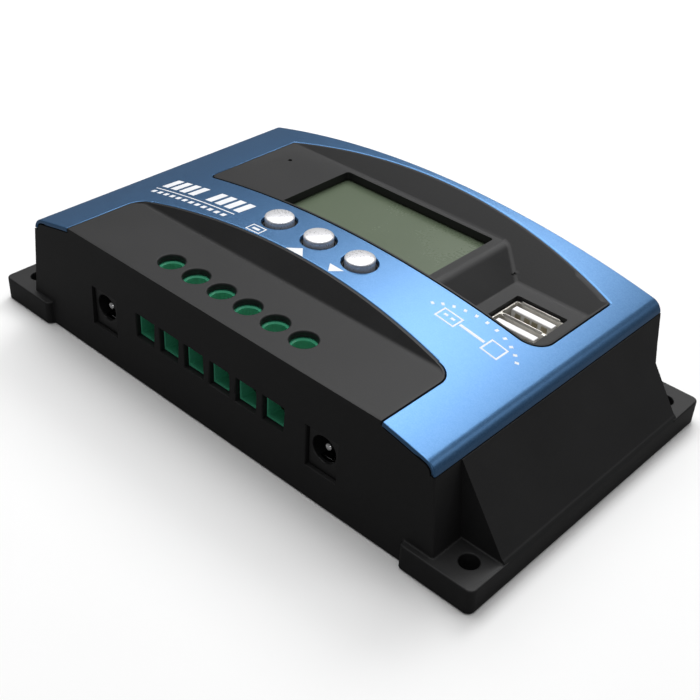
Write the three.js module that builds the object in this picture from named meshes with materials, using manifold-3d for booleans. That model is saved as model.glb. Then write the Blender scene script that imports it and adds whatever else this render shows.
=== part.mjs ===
// Solar charge controller: an arched plastic housing with four mounting ears,
// a painted top fascia, a recessed display window, a USB pocket, three push
// buttons, a six-pole rising-clamp terminal block and two barrel sockets.
// Units are millimetres. +X runs along the long side towards the USB pocket,
// -Y is the terminal side, +Z is up. The origin is at the centre of the
// footprint, on the surface that the unit rests on.
import * as THREE from 'three';
import { mergeVertices } from 'three/addons/utils/BufferGeometryUtils.js';
import Module from 'manifold-3d';

// ---------------------------------------------------------------- dimensions
const GAP = 0.3;                 // clearance between pieces that touch

// footprint and ears
const LENGTH = 150;              // over the ears, along X
const WIDTH = 84;                // over the ears, along Y
const EAR_Z = 6;                 // top of the ears
const EAR_X = 64.2;              // inner side of an ear pad
const EAR_Y = 31.8;              // inner end of an ear pad
const FOOT_X = 57;               // inner end of the proud foot strip
const HOLE_X = 69.4;             // mounting hole centres
const HOLE_Y = 35.8;
const HOLE_D = 4.2;

// body
const BODY_Y0 = 40.5;            // half width at the base
const BODY_Y1 = 39.65;           // half width at the fascia edge
const BODY_X0 = 65.0;            // half length of the block between the ears, at the base
const BODY_X1 = 62.1;            // half length at the fascia edge
const EDGE_Z = 24.6;             // lower edge of the fascia at both ends
const SKIRT_X = 74.0;            // where the sloping end wall meets the flange
const SKIRT_Z = 6.8;
const FLANGE_Z = 5.4;
const WALL = 2.2;

// arched top
const ARCH_R = 260;
const ARCH_TOP = 34.33;
const ARCH_FILLET = 3.2;
const FASCIA_T = 0.9;
const LIP = 0.45;                // black lip around each inset
const ROOF = 2.0;                // plastic under the fascia
const DECK_ROOF = 1.5;           // plastic of the front deck

// front deck
const DECK_Z = 29.9;
const DECK_HALF = 48.0;
const CREASE_Y = -19.24;
const DECK_SLOPE = 0.97;         // dy per dz of the slope up to the fascia
const DECK_CORNER = 3.5;

// rear recess
const REC_Z = 30.4;
const REC_Y0 = 2.05;
const REC_R = 4.6;                // front right corner of the recess
const REC_YB = 30.5;             // where the rear slope leaves the flat
const REC_SLOPE = 1.43;
const REC_X0 = -45.2;
const REC_X1 = 54.5;
const POCKET_Z = 25.84;
const POCKET_X = 33.3;           // left edge of the pocket floor
const FLAT_X = 25.4;             // right edge of the flat around the display
const WIN = { x0: -24.2, x1: 22.3, y0: 4.0, y1: 29.2 };

// terminal row
const PITCH = 8.25;
const ROW_X = -0.3;
const POLES = 6;
const ROW_Y = -31.4;
const SCREW_HOLE_D = 6.4;
const WIRE_W = 6.2;
const WIRE_Z0 = 12.3;
const WIRE_Z1 = 18.5;
const CLAMP_LIFT = 2.1;          // three turns of a 0.7 mm pitch

// barrel sockets
const JACK_X = [-35.9, 34.3];
const JACK_HALF = 4.1;
const JACK_Z0 = 8.3;
const JACK_Z1 = 18.0;
const JACK_BORE_Z = 13.9;
const JACK_FACE_Y = -39.3;

// USB
const USB = { x0: 37.2, x1: 50.1, y0: 5.95, y1: 19.5, top: 25.1 };

// buttons
const BTN_X = [-12.8, -0.3, 12.2];
const BTN_Y = -6.2;
const BTN_D = 6.9;
const WELL_D = 8.4;
const BTN_TRAVEL = 0.4;

// boards
const PCB_Z = 6.4;
const PCB_T = 1.6;
const PCB_TOP = PCB_Z + PCB_T;
const DISP_Z = 22.6;
const DISP_T = 1.6;
const PLATE_Z = 1.8;
const PLATE_T = 2.0;

// ------------------------------------------------------------------- helpers
const wasm = await Module();
wasm.setup();

function solid(geometry) {
  let g = geometry.clone();
  for (const name of Object.keys(g.attributes)) if (name !== 'position') g.deleteAttribute(name);
  g = mergeVertices(g, 1e-4);
  const index = g.index.array;
  const keep = [];
  for (let i = 0; i < index.length; i += 3) {
    const a = index[i], b = index[i + 1], c = index[i + 2];
    if (a !== b && b !== c && a !== c) keep.push(a, b, c);
  }
  return new wasm.Manifold(new wasm.Mesh({
    numProp: 3,
    vertProperties: new Float32Array(g.attributes.position.array),
    triVerts: new Uint32Array(keep),
  }));
}

function toGeometry(manifold) {
  const mesh = manifold.getMesh();
  const g = new THREE.BufferGeometry();
  const p = new Float32Array(mesh.vertProperties.length / mesh.numProp * 3);
  for (let i = 0, n = p.length / 3; i < n; i++)
    for (let k = 0; k < 3; k++) p[3 * i + k] = mesh.vertProperties[i * mesh.numProp + k];
  g.setAttribute('position', new THREE.BufferAttribute(p, 3));
  g.setIndex(new THREE.BufferAttribute(new Uint32Array(mesh.triVerts), 1));
  g.computeVertexNormals();
  return g;
}

const shapeOf = (pts) => new THREE.Shape(pts.map(([x, y]) => new THREE.Vector2(x, y)));

function extrude(shape, depth) {
  return new THREE.ExtrudeGeometry(shape, { depth, bevelEnabled: false, curveSegments: 6 });
}
const prismZ = (pts, z0, z1) => solid(extrude(shapeOf(pts), z1 - z0).translate(0, 0, z0));
const prismY = (pts, y0, y1) => solid(extrude(shapeOf(pts), y1 - y0).rotateX(Math.PI / 2).translate(0, y1, 0));
const prismX = (pts, x0, x1) => solid(extrude(shapeOf(pts), x1 - x0)
  .applyMatrix4(new THREE.Matrix4().set(0, 0, 1, x0, 1, 0, 0, 0, 0, 1, 0, 0, 0, 0, 0, 1)));
const box = (x0, x1, y0, y1, z0, z1) => solid(new THREE.BoxGeometry(x1 - x0, y1 - y0, z1 - z0)
  .translate((x0 + x1) / 2, (y0 + y1) / 2, (z0 + z1) / 2));
const cylZ = (x, y, d, z0, z1, n = 20) => solid(new THREE.CylinderGeometry(d / 2, d / 2, z1 - z0, n)
  .rotateX(Math.PI / 2).translate(x, y, (z0 + z1) / 2));
const cylY = (x, z, d, y0, y1, n = 20) => solid(new THREE.CylinderGeometry(d / 2, d / 2, y1 - y0, n)
  .translate(x, (y0 + y1) / 2, z));
// a turned solid on the Z axis; profile is [r, z] from the axis round to the axis
const turned = (profile, x, y, n = 20) => solid(new THREE.LatheGeometry(
  profile.map(([r, z]) => new THREE.Vector2(r, z)), n).rotateX(Math.PI / 2).translate(x, y, 0));

// rounded rectangle outline; radii in the order (x0,y0) (x1,y0) (x1,y1) (x0,y1)
function roundRect(x0, x1, y0, y1, r, n = 4) {
  const rr = Array.isArray(r) ? r : [r, r, r, r];
  const pts = [];
  const corner = (cx, cy, radius, a0) => {
    if (radius < 1e-6) { pts.push([cx, cy]); return; }
    for (let i = 0; i <= n; i++) {
      const a = a0 + (Math.PI / 2) * (i / n);
      pts.push([cx + radius * Math.cos(a), cy + radius * Math.sin(a)]);
    }
  };
  corner(x0 + rr[0], y0 + rr[0], rr[0], Math.PI);
  corner(x1 - rr[1], y0 + rr[1], rr[1], 1.5 * Math.PI);
  corner(x1 - rr[2], y1 - rr[2], rr[2], 0);
  corner(x0 + rr[3], y1 - rr[3], rr[3], 0.5 * Math.PI);
  return pts;
}
const join = (...s) => s.reduce((a, b) => a.add(b));
const cut = (s, ...t) => t.reduce((a, b) => a.subtract(b), s);

// the arch: outline of the top in the XZ plane, moved inwards by off,
// from the right lower corner over the top to the left lower corner
const ARCH_CZ = ARCH_TOP - ARCH_R;
function archLine(off, nArc = 20, nFil = 4) {
  const cx = BODY_X1 - ARCH_FILLET;
  const cz = ARCH_CZ + Math.sqrt((ARCH_R - ARCH_FILLET) ** 2 - cx * cx);
  const a1 = Math.atan2(cz - ARCH_CZ, cx);
  const r = ARCH_FILLET - off;
  const pts = [];
  if (r > 0.2) for (let i = 0; i <= nFil; i++) {
    const a = a1 * (i / nFil);
    pts.push([cx + r * Math.cos(a), cz + r * Math.sin(a)]);
  } else {
    const x = BODY_X1 - off;
    pts.push([x, ARCH_CZ + Math.sqrt((ARCH_R - off) ** 2 - x * x)]);
  }
  const R = ARCH_R - off;
  const s = r > 0.2 ? a1 : Math.atan2(pts[0][1] - ARCH_CZ, pts[0][0]);
  for (let i = 1; i < nArc; i++) {
    const a = s + (Math.PI - 2 * s) * (i / nArc);
    pts.push([R * Math.cos(a), ARCH_CZ + R * Math.sin(a)]);
  }
  const right = pts.slice(0, r > 0.2 ? nFil + 1 : 1);
  for (const [x, z] of right.reverse()) pts.push([-x, z]);
  return pts;
}
const archZ = (x, off = 0) => ARCH_CZ + Math.sqrt((ARCH_R - off) ** 2 - x * x);

// the two insets, grown outwards by d
function deckRegion(d) {
  const h = DECK_HALF + d, r = DECK_CORNER + d, y = CREASE_Y;
  const plan = [[-h, -60]];
  for (let i = 0; i <= 4; i++) {
    const a = Math.PI - (Math.PI / 2) * (i / 4);
    plan.push([-h + r + r * Math.cos(a), y + 0.45 + d - r + r * Math.sin(a)]);
  }
  plan.push([-h + r + 1.5, y + 9], [h - r - 1.5, y + 9]);
  for (let i = 0; i <= 4; i++) {
    const a = Math.PI / 2 - (Math.PI / 2) * (i / 4);
    plan.push([h - r + r * Math.cos(a), y + 0.45 + d - r + r * Math.sin(a)]);
  }
  plan.push([h, -60]);
  return plan;
}
const deckFace = (z, d) => CREASE_Y + DECK_SLOPE * (z - DECK_Z) + d * Math.hypot(1, DECK_SLOPE);
function deckPrism(d, z0, z1) {
  return prismX([[-60, z0], [deckFace(z0, d), z0], [deckFace(z1, d), z1], [-60, z1]], -70, 70)
    .intersect(prismZ(deckRegion(d), z0 - 1, z1 + 1));
}
const recFace = (z, d) => REC_YB + REC_SLOPE * (z - REC_Z) + d * Math.hypot(1, REC_SLOPE);
function recessPrism(d, z0, z1) {
  return prismX([[REC_Y0 - d, z0], [recFace(z0, d), z0], [recFace(z1, d), z1], [REC_Y0 - d, z1]], -70, 70)
    .intersect(prismZ(roundRect(REC_X0 - d, REC_X1 + d, REC_Y0 - d, 45,
      [1.5 + d, REC_R + d, 0, 0]), z0 - 1, z1 + 1));
}
// floor of the rear recess in the XZ plane, lowered by d
function recessFloor(d) {
  const slope = Math.atan2(REC_Z - POCKET_Z, POCKET_X - FLAT_X);
  const r = 5, t = r * Math.tan(slope / 2);
  const pts = [[-70, REC_Z - d]];
  for (let i = 0; i <= 4; i++) {
    const a = slope * (i / 4);
    pts.push([FLAT_X - t + r * Math.sin(a), REC_Z - d - r * (1 - Math.cos(a))]);
  }
  const px = POCKET_X - d * Math.tan(slope / 2);
  pts.push([px, POCKET_Z - d], [70, POCKET_Z - d], [70, 60], [-70, 60]);
  return pts;
}

// ----------------------------------------------------------------- materials
const mat = (color, roughness, metalness) => new THREE.MeshStandardMaterial({ color, roughness, metalness });
const BLACK = mat(0x202021, 0.55, 0);
const BLUE = mat(0x2f6fae, 0.38, 0.35);
const PLATE = mat(0x8c8f92, 0.45, 0.9);
const STEEL = mat(0xb9bcbf, 0.35, 1);
const BRASS = mat(0xc7a860, 0.35, 1);
const GREEN = mat(0x2f8f5f, 0.45, 0);
const BOARD = mat(0x1d5a3a, 0.5, 0);
const WHITE = mat(0xf0f0ee, 0.5, 0);
const SILVER = mat(0xd9dcdf, 0.3, 0.4);
const GLASS = mat(0x68755f, 0.15, 0);
const FERRITE = mat(0x35363a, 0.7, 0);
const CHIP = mat(0x161617, 0.5, 0);
const SLEEVE = mat(0x24324f, 0.4, 0);

const model = new THREE.Group();
function add(name, shape, material) {
  const geometry = shape instanceof THREE.BufferGeometry ? shape : toGeometry(shape);
  const mesh = new THREE.Mesh(geometry, material);
  mesh.name = name;
  model.add(mesh);
}

// ---------------------------------------------------------------- the housing
const yAt = (z) => BODY_Y0 + (BODY_Y1 - BODY_Y0) * (z / EDGE_Z);
const sideYZ = (inset) => [[-yAt(0) + inset, -2], [yAt(0) - inset, -2], [yAt(0) - inset, 0],
  [yAt(40) - inset, 40], [-yAt(40) + inset, 40], [-yAt(0) + inset, 0]];

const blockXZ = (off) => {
  const line = archLine(off);
  return [[-BODY_X0 + off, 0], [BODY_X0 - off, 0], ...line];
};
const block = prismY(blockXZ(0), -45, 45).intersect(prismX(sideYZ(0), -80, 80));

// sloping end walls with the vertical flange at their foot
const skirtXZ = [[-LENGTH / 2, 0], [LENGTH / 2, 0], [LENGTH / 2, FLANGE_Z], [SKIRT_X + 0.55, SKIRT_Z - 0.55],
  [SKIRT_X, SKIRT_Z], [BODY_X1 + 0.2, EDGE_Z - GAP], [-BODY_X1 - 0.2, EDGE_Z - GAP], [-SKIRT_X, SKIRT_Z],
  [-SKIRT_X - 0.55, SKIRT_Z - 0.55], [-LENGTH / 2, FLANGE_Z]];
const skirt = prismY(skirtXZ, -EAR_Y, EAR_Y);

let shell = join(block, skirt);
for (const sx of [-1, 1]) for (const sy of [-1, 1]) {
  const x0 = sx > 0 ? EAR_X - 2 : -LENGTH / 2, x1 = sx > 0 ? LENGTH / 2 : -EAR_X + 2;
  const y0 = sy > 0 ? EAR_Y - 1 : -WIDTH / 2, y1 = sy > 0 ? WIDTH / 2 : -EAR_Y + 1;
  const r = [0, 0, 0, 0];
  r[sy < 0 ? (sx < 0 ? 0 : 1) : (sx > 0 ? 2 : 3)] = 1.6;
  shell = shell.add(prismZ(roundRect(x0, x1, y0, y1, r), 0, EAR_Z));
  const fx0 = sx > 0 ? FOOT_X : -LENGTH / 2 + 4, fx1 = sx > 0 ? LENGTH / 2 - 4 : -FOOT_X;
  const fy0 = sy > 0 ? BODY_Y1 - 1.6 : -WIDTH / 2, fy1 = sy > 0 ? WIDTH / 2 : -BODY_Y1 + 1.6;
  const q = [0, 0, 0, 0];
  q[sy < 0 ? (sx < 0 ? 1 : 0) : (sx > 0 ? 3 : 2)] = 1.2;
  shell = shell.add(prismZ(roundRect(fx0, fx1, fy0, fy1, q), 0, EAR_Z));
}

// bed for the fascia, leaving a lip round each inset
const bed = cut(
  prismY([...blockXZ(-2)], -60, 60).intersect(box(-80, 80, -60, 60, EDGE_Z - GAP, 50))
    .subtract(prismY([[-BODY_X1 + FASCIA_T + GAP, 0], [BODY_X1 - FASCIA_T - GAP, 0], ...archLine(FASCIA_T + GAP)], -70, 70)),
  deckPrism(LIP, 10, 45), recessPrism(LIP, 10, 45));
shell = shell.subtract(bed);

// the insets
const deckCut = deckPrism(0, DECK_Z, 45);
const recCut = recessPrism(0, 20, 45).intersect(prismY(recessFloor(0), -50, 60));
shell = cut(shell, deckCut, recCut);

// hollow inside
const innerArch = archLine(FASCIA_T + GAP + ROOF);
const hollow = prismY([[-BODY_X0 + WALL + 0.2, -1], [BODY_X0 - WALL - 0.2, -1], ...innerArch], -BODY_Y1 + 1.5, BODY_Y1 - 1.5);
const hollowEnds = prismY([[-71.2, -1], [71.2, -1], [71.2, 5.6], [61.0, 21.6], [-61.0, 21.6], [-71.2, 5.6]], -29.4, 29.4);
const underDeck = prismX([[-60, DECK_Z - DECK_ROOF], [deckFace(DECK_Z - DECK_ROOF, 2.0), DECK_Z - DECK_ROOF], [deckFace(45, 2.0), 45], [-60, 45]], -52, 52);
const underRec = prismX([[REC_Y0 - 1.8, 10], [recFace(10, 2.2), 10], [recFace(45, 2.2), 45], [REC_Y0 - 1.8, 45]], -70, REC_X1 + 1.8)
  .intersect(prismY(recessFloor(ROOF), -50, 60));
let inside = cut(join(hollow, hollowEnds), underDeck, underRec);
shell = shell.subtract(inside);

// bosses for the base screws and for the display board
const BASE_SCREWS = [[-56.2, -34.6], [56.2, -34.6], [56.2, 34.6], [-56.2, 34.6]];
for (const [x, y] of BASE_SCREWS) {
  shell = shell.add(cylZ(x, y, 6.6, PLATE_Z + PLATE_T + GAP, archZ(56.2) - 2.6, 12));
  shell = shell.subtract(cylZ(x, y, 3.0, 0, 14, 10));
}
const DISP_SCREWS = [[-29.4, -10.4, 29.2], [29.4, -10.4, 29.2], [29.4, 26.0, 27.0], [-29.4, 26.0, 28.8]];
for (const [x, y, top] of DISP_SCREWS) {
  shell = shell.add(cylZ(x, y, 5.0, DISP_Z + DISP_T + GAP, top, 10));
  shell = shell.subtract(cylZ(x, y, 2.7, DISP_Z, top - 1.6, 8));
}

// openings
const poleX = (i) => ROW_X + (i - (POLES - 1) / 2) * PITCH;
for (let i = 0; i < POLES; i++) {
  const x = poleX(i);
  shell = shell.subtract(box(x - WIRE_W / 2, x + WIRE_W / 2, -45, -36, WIRE_Z0, WIRE_Z1));
  shell = shell.subtract(turned([[0, 26], [SCREW_HOLE_D / 2, 26], [SCREW_HOLE_D / 2, DECK_Z - 0.4],
    [SCREW_HOLE_D / 2 + 0.8, DECK_Z + 0.4], [0, DECK_Z + 0.4]], x, ROW_Y, 18));
}
for (const x of JACK_X)
  shell = shell.subtract(box(x - JACK_HALF - GAP, x + JACK_HALF + GAP, -45, -35, JACK_Z0 - GAP, JACK_Z1 + GAP));
shell = shell.subtract(prismZ(roundRect(USB.x0 - GAP, USB.x1 + GAP, USB.y0 - GAP, USB.y1 + GAP, 0.5, 2), 20, 30));
shell = shell.subtract(prismZ(roundRect(WIN.x0, WIN.x1, WIN.y0, WIN.y1, 0.8, 2), 26, 33));
for (const x of BTN_X) {
  shell = shell.subtract(cylZ(x, BTN_Y, BTN_D + 2 * GAP, 20, 40, 18));
  shell = shell.subtract(cylZ(x, BTN_Y, 9.4, 20, 30.2, 16));
}
for (const sx of [-1, 1]) for (const sy of [-1, 1])
  shell = shell.subtract(turned([[0, -1], [HOLE_D / 2, -1], [HOLE_D / 2, EAR_Z - 0.3], [HOLE_D / 2 + 0.5, EAR_Z + 0.2], [0, EAR_Z + 0.2]],
    sx * HOLE_X, sy * HOLE_Y, 16));
shell = shell.subtract(cylZ(-38.7, 22.7, 1.1, 28.9, 32, 10));
add('main_housing', shell, BLACK);

// ----------------------------------------------------------------- the fascia
let fascia = prismY([[-BODY_X1, 20], [BODY_X1, 20], ...archLine(0)], -45, 45)
  .intersect(prismX(sideYZ(0), -80, 80))
  .intersect(box(-80, 80, -60, 60, EDGE_Z, 50))
  .subtract(prismY([[-BODY_X1 + FASCIA_T, 0], [BODY_X1 - FASCIA_T, 0], ...archLine(FASCIA_T)], -70, 70));
fascia = cut(fascia, deckPrism(LIP + GAP, 10, 45), recessPrism(LIP + GAP, 10, 45));
for (const x of BTN_X) fascia = fascia.subtract(cylZ(x, BTN_Y, WELL_D, 20, 40, 22));
add('top_fascia', fascia, BLUE);

// ------------------------------------------------------------- the base plate
const plateOutline = [[-60.9, -37.7], [60.9, -37.7], [60.9, -29.1], [70.9, -29.1], [70.9, 29.1], [60.9, 29.1],
  [60.9, 37.7], [-60.9, 37.7], [-60.9, 29.1], [-70.9, 29.1], [-70.9, -29.1], [-60.9, -29.1]];
const PCB_SCREWS = [[-46, -21], [46, -21], [46, 29], [-46, 29]];
let plate = prismZ(plateOutline, PLATE_Z, PLATE_Z + PLATE_T);
for (const [x, y] of BASE_SCREWS) plate = plate.subtract(cylZ(x, y, 3.6, 0, 6, 10));
for (let i = 0; i < 10; i++) {
  const x = -40.5 + 9 * i;
  plate = plate.subtract(box(x - 1.3, x + 1.3, 6, 24, 0, 6));
}
for (const [x, y] of PCB_SCREWS) {
  plate = plate.add(cylZ(x, y, 6.4, PLATE_Z + 0.5, PCB_Z - GAP, 10));
  plate = plate.subtract(cylZ(x, y, 3.0, PLATE_Z + 0.6, PCB_Z, 8));
}
add('base_plate', plate, PLATE);

// screw with a domed head and a cross recess, pointing along dir (+1 up, -1 down)
function screwZ(x, y, zHead, dir, headD, headH, shankD, length, n = 10) {
  const h = dir > 0 ? -headH : headH;
  const prof = dir > 0
    ? [[0, zHead + h], [headD / 2 - 0.6, zHead + h], [headD / 2, zHead + h + 0.5], [headD / 2, zHead], [shankD / 2, zHead], [shankD / 2, zHead + length - 0.7], [0, zHead + length]]
    : [[0, zHead - length], [shankD / 2, zHead - length + 0.7], [shankD / 2, zHead], [headD / 2, zHead], [headD / 2, zHead + h - 0.5], [headD / 2 - 0.6, zHead + h], [0, zHead + h]];
  let s = turned(prof, x, y, n);
  const z0 = dir > 0 ? zHead + h - 1 : zHead + h - 0.8, z1 = dir > 0 ? zHead + h + 0.8 : zHead + h + 1;
  const c = headD * 0.3;
  s = s.subtract(box(x - c, x + c, y - 0.35, y + 0.35, z0, z1));
  s = s.subtract(box(x - 0.35, x + 0.35, y - c, y + c, z0, z1));
  return s;
}
BASE_SCREWS.forEach(([x, y], i) => add(`base_screw_${i + 1}`, screwZ(x, y, PLATE_Z - GAP, 1, 5.6, 1.3, 2.4, 11, 14), STEEL));

// ------------------------------------------------------------- the main board
let pcb = prismZ([[-51, -37.6], [51, -37.6], [51, 34.5], [-51, 34.5]], PCB_Z, PCB_TOP);
for (const [x, y] of PCB_SCREWS) pcb = pcb.subtract(cylZ(x, y, 3.0, 0, 12, 8));
add('main_board', pcb, BOARD);
PCB_SCREWS.forEach(([x, y], i) => add(`board_screw_${i + 1}`, screwZ(x, y, PCB_TOP + GAP, -1, 5.4, 1.5, 2.3, 5.6), STEEL));

// ---------------------------------------------------------- the terminal block
const TB = { x0: poleX(0) - PITCH / 2, x1: poleX(POLES - 1) + PITCH / 2, y0: -37.85, y1: -25.4, z0: PCB_TOP + GAP, z1: DECK_Z - DECK_ROOF - GAP };
const CAV = { hx: 3.35, y0: -35.4, y1: -27.3, z0: 9.4, z1: 22.6 };
const HEAD_Z = 23.2;
const NOSE_Y = -38.9;            // face of the noses that stand in the wire openings
let tb = box(TB.x0, TB.x1, TB.y0, TB.y1, TB.z0, TB.z1);
for (let i = 0; i < POLES; i++) {
  const x = poleX(i);
  tb = tb.add(box(x - WIRE_W / 2 + GAP, x + WIRE_W / 2 - GAP, NOSE_Y, TB.y0 + 0.5, WIRE_Z0 + GAP, WIRE_Z1 - GAP));
  tb = tb.subtract(prismY(roundRect(x - 2.35, x + 2.35, 13.05, 17.75, 0.4, 2), NOSE_Y - 1, CAV.y0 + 1));
  tb = tb.subtract(box(x - CAV.hx, x + CAV.hx, CAV.y0, CAV.y1, CAV.z0, CAV.z1));
  tb = tb.subtract(cylZ(x, ROW_Y, 3.7, CAV.z1 - 1, TB.z1 + 1, 12));
  tb = tb.subtract(turned([[0, HEAD_Z], [2.6, HEAD_Z], [2.6, TB.z1 - 0.3], [3.2, TB.z1 + 0.3], [0, TB.z1 + 0.3]], x, ROW_Y, 18));
  tb = tb.subtract(box(x - 2.5, x + 2.5, CAV.y1 - 0.5, -26.3, 16.0, 19.9));
}
add('terminal_block', tb, GREEN);

for (let i = 0; i < POLES; i++) {
  const x = poleX(i);
  // screw: slotted head turning on the ledge, plain shank down to the busbar
  let s = turned([[0, 19.5], [1.1, 19.5], [1.5, 20.0], [1.5, HEAD_Z + GAP], [2.2, HEAD_Z + GAP], [2.2, HEAD_Z + GAP + 1.5],
    [1.85, HEAD_Z + GAP + 1.9], [0, HEAD_Z + GAP + 1.9]], x, ROW_Y, 12);
  s = s.subtract(box(x - 4, x + 4, ROW_Y - 0.4, ROW_Y + 0.4, HEAD_Z + GAP + 0.9, HEAD_Z + 4));
  add(`terminal_screw_${i + 1}`, s, STEEL);
  // rising clamp: a ring round the busbar and the wire, threaded on the screw
  let c = box(x - 3.0, x + 3.0, -35.0, -27.7, 10.7, CAV.z1 - GAP - CLAMP_LIFT);
  c = c.subtract(box(x - 2.3, x + 2.3, -40, -20, 12.2, 19.3));
  c = c.subtract(cylZ(x, ROW_Y, 3.7, 19, 22, 12));
  add(`terminal_clamp_${i + 1}`, c, BRASS);
  // busbar: fixed plate under the screw tip, with its leg into the board
  const b = prismX([[-34.6, 18.3], [-26.6, 18.3], [-26.6, 19.0], [-34.6, 19.0]], x - 1.9, x + 1.9);
  add(`busbar_${i + 1}`, b, BRASS);
}

// ---------------------------------------------------------- the barrel sockets
['left', 'right'].forEach((side, i) => {
  const x = JACK_X[i];
  let j = prismY(roundRect(x - JACK_HALF, x + JACK_HALF, JACK_Z0, JACK_Z1, [0, 0, 0.9, 0.9], 2), JACK_FACE_Y, -25.4);
  j = j.subtract(cylY(x, JACK_BORE_Z, 6.4, JACK_FACE_Y - 1, -29.0, 18));
  j = j.subtract(box(x - 1.8, x + 1.8, JACK_FACE_Y + 0.9, -29.6, 9.6, 12));
  add(`socket_${side}`, j, BLACK);
  const pin = solid(new THREE.LatheGeometry([[0, 0], [1.05, 0], [1.05, 8.1], [0.6, 8.9], [0, 9.0]].map(([r, t]) => new THREE.Vector2(r, t)), 10)
    .rotateX(Math.PI).translate(x, -29.3, JACK_BORE_Z));
  add(`socket_pin_${side}`, pin, STEEL);
  // leaf contact lying in the floor of the bore
  const leaf = prismX([[-38.0, 10.75], [-37.4, 10.45], [-30.2, 10.0], [-30.2, 10.35], [-35.2, 11.0], [-37.5, 11.0], [-38.0, 11.3]], x - 1.45, x + 1.45);
  add(`socket_leaf_${side}`, leaf, STEEL);
});

// ---------------------------------------------------------------- the USB pair
const PORTS = { back: [13.1, 19.0], front: [6.4, 12.3] };
let usb = prismZ(roundRect(USB.x0, USB.x1, USB.y0, USB.y1, 0.4, 2), PCB_TOP + GAP, USB.top);
for (const [y0, y1] of Object.values(PORTS)) usb = usb.subtract(box(USB.x0 + 0.35, USB.x1 - 0.35, y0, y1, 12.5, 30));
add('usb_shell', usb, STEEL);
for (const [name, [y0, y1]] of Object.entries(PORTS)) {
  const yc = y1 - 2.2;
  const t = join(box(USB.x0 + 0.35 + GAP, USB.x1 - 0.35 - GAP, y0 + GAP, y1 - GAP, 12.5 + GAP, 15.5),
    box(USB.x0 + 1.1, USB.x1 - 1.1, yc - 0.95, yc + 0.95, 15, USB.top - 0.4));
  add(`usb_tongue_${name}`, t, WHITE);
}

// --------------------------------------------------------------- display board
let disp = prismZ([[-33, -13.6], [31.7, -13.6], [31.7, 29.5], [-33, 29.5]], DISP_Z, DISP_Z + DISP_T);
for (const [x, y] of DISP_SCREWS) disp = disp.subtract(cylZ(x, y, 2.8, 20, 26, 8));
add('display_board', disp, BOARD);
DISP_SCREWS.forEach(([x, y, top], i) => add(`display_screw_${i + 1}`, screwZ(x, y, DISP_Z - GAP, 1, 4.2, 1.3, 2.0, top - 1.6 - 0.4 - DISP_Z + GAP), STEEL));

const LCD = { x0: -26.0, x1: 23.9, y0: 2.4, y1: 30.6 };
add('lcd_panel', prismZ(roundRect(LCD.x0, LCD.x1, LCD.y0, LCD.y1, 0.5, 2), 25.9, 28.0), GLASS);
add('lcd_backlight', prismZ([[LCD.x0, LCD.y0], [LCD.x1, LCD.y0], [LCD.x1, 29.6], [LCD.x0, 29.6]], DISP_Z + DISP_T + GAP, 25.6), WHITE);

// ------------------------------------------------------------------- buttons
BTN_X.forEach((x, i) => {
  const top = archZ(x);
  const r = BTN_D / 2;
  const cap = turned([[0, 28.5], [4.3, 28.5], [4.3, 29.9], [r, 29.9], [r, top + 0.85],
    [r * 0.86, top + 1.24], [r * 0.5, top + 1.55], [0, top + 1.66]], x, BTN_Y, 18);
  add(`button_${i + 1}`, cap, SILVER);
  // tactile switch: square body with the round actuator on top
  const sw = join(box(x - 3, x + 3, BTN_Y - 3, BTN_Y + 3, DISP_Z + DISP_T + GAP, 27.0), cylZ(x, BTN_Y, 3.4, 26, 27.7, 10));
  add(`tact_switch_${i + 1}`, sw, CHIP);
});

// --------------------------------------------------- power parts on the board
add('power_inductor', prismZ([[-30, 1], [-27, -2], [-13, -2], [-10, 1], [-10, 15], [-13, 18], [-27, 18], [-30, 15]], PCB_TOP + GAP, 19.5), FERRITE);
const can = (x, y, d, h) => turned([[0, PCB_TOP + GAP], [d / 2 - 0.3, PCB_TOP + GAP], [d / 2, PCB_TOP + 0.8], [d / 2, PCB_TOP + 2.2], [d / 2 - 0.4, PCB_TOP + 2.6],
  [d / 2, PCB_TOP + 3.0], [d / 2, PCB_TOP + h - 0.5], [d / 2 - 0.5, PCB_TOP + h], [0, PCB_TOP + h]], x, y, 14);
add('capacitor_1', can(3, -6, 12.5, 13.4), SLEEVE);
add('capacitor_2', can(17, -6, 12.5, 13.4), SLEEVE);
let sink = box(-6, 32, 24, 33.6, PCB_TOP + GAP, 20.6);
for (let i = 0; i < 4; i++) sink = sink.subtract(box(-7, 33, 26.0 + i * 2.0, 27.1 + i * 2.0, 11.2, 22));
add('heat_sink', sink, PLATE);
for (let i = 0; i < 2; i++) {
  const x = 4 + 18 * i;
  add(`mosfet_${i + 1}`, join(box(x - 5, x + 5, 19.0, 23.4, PCB_TOP + 1.6, 16.5), box(x - 5, x + 5, 22.3, 23.7, 16, 20.2),
    box(x - 4, x + 4, 20.6, 21.4, PCB_TOP + GAP, PCB_TOP + 2)), CHIP);
}
add('control_chip', box(-44, -34, 4, 14, PCB_TOP + GAP, PCB_TOP + 1.7), CHIP);

export default model;
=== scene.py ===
# Charge controller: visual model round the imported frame.
import bpy, bmesh, math
from mathutils import Vector, Matrix, Euler


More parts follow.
